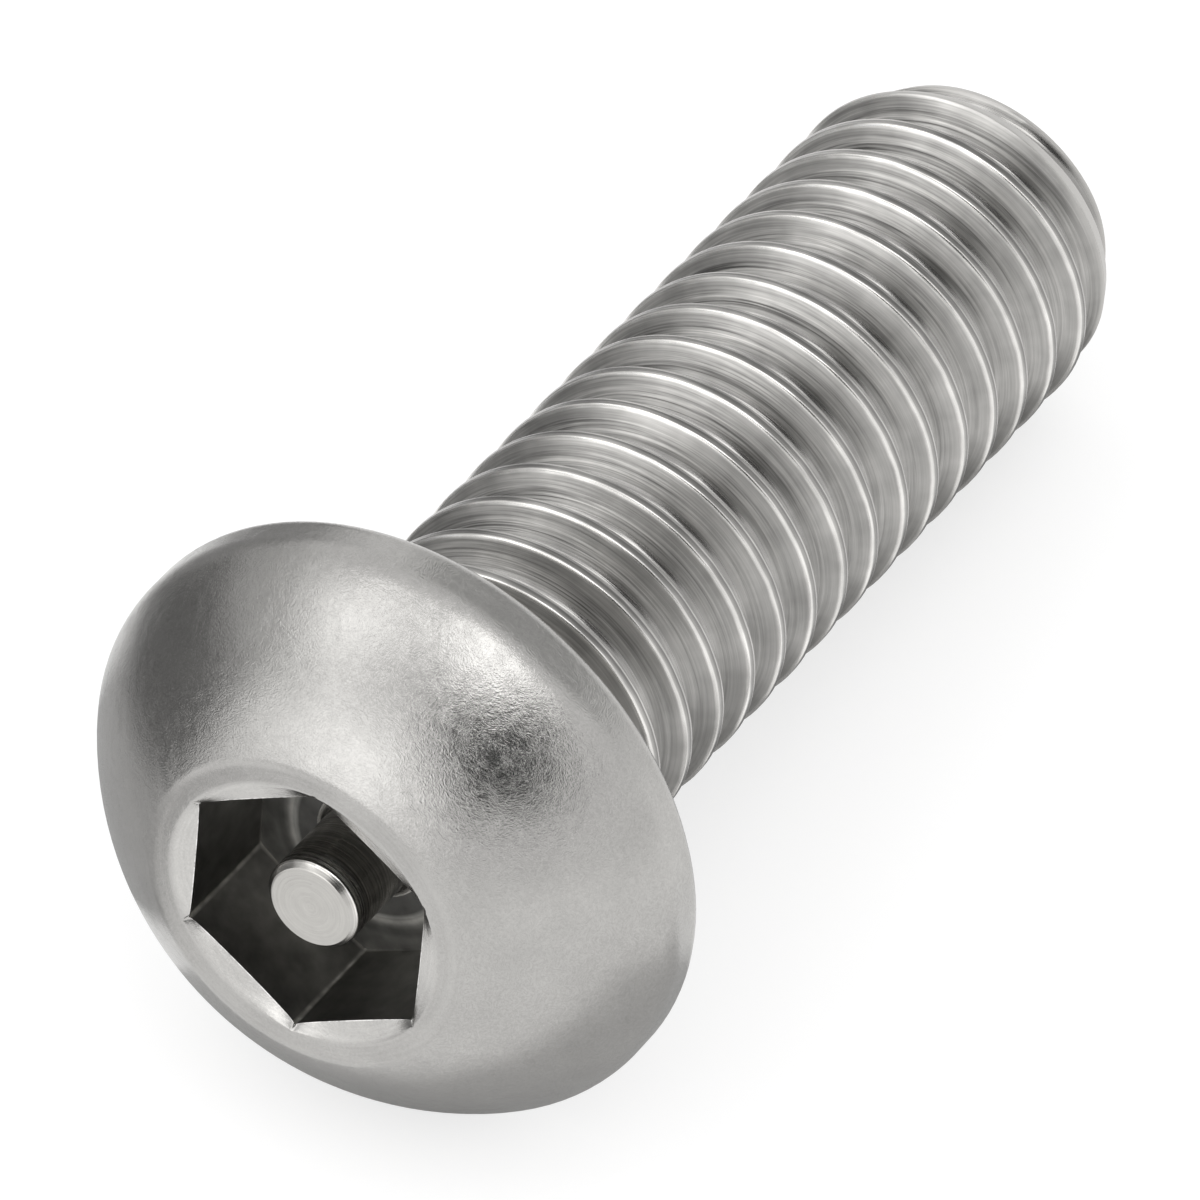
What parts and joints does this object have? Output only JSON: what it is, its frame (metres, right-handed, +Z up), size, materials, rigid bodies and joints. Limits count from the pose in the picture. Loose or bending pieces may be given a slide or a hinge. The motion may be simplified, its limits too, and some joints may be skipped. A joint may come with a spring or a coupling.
{
  "type": "button head security screw",
  "caption": "Low domed button head screw with a hex socket guarded by a centre pin, and a full-length coarse metric thread that clamps parts under its flat head.",
  "frame": {"origin": "centre of the head's flat bearing face, on the screw's axis", "axes": "+X from the head towards the thread's end along the surface it lies on, +Z up; the axis dips 7.5 degrees below +X, because the head is wider than the thread"},
  "size_m": [0.022, 0.0104, 0.0105],
  "materials": {
    "stainless_steel": "satin, tumbled head with fine random scratches, rolled thread with fine streaks along its turns"
  },
  "bodies": {
    "root": {"screw": "stainless_steel"}
  },
  "joints": []
}
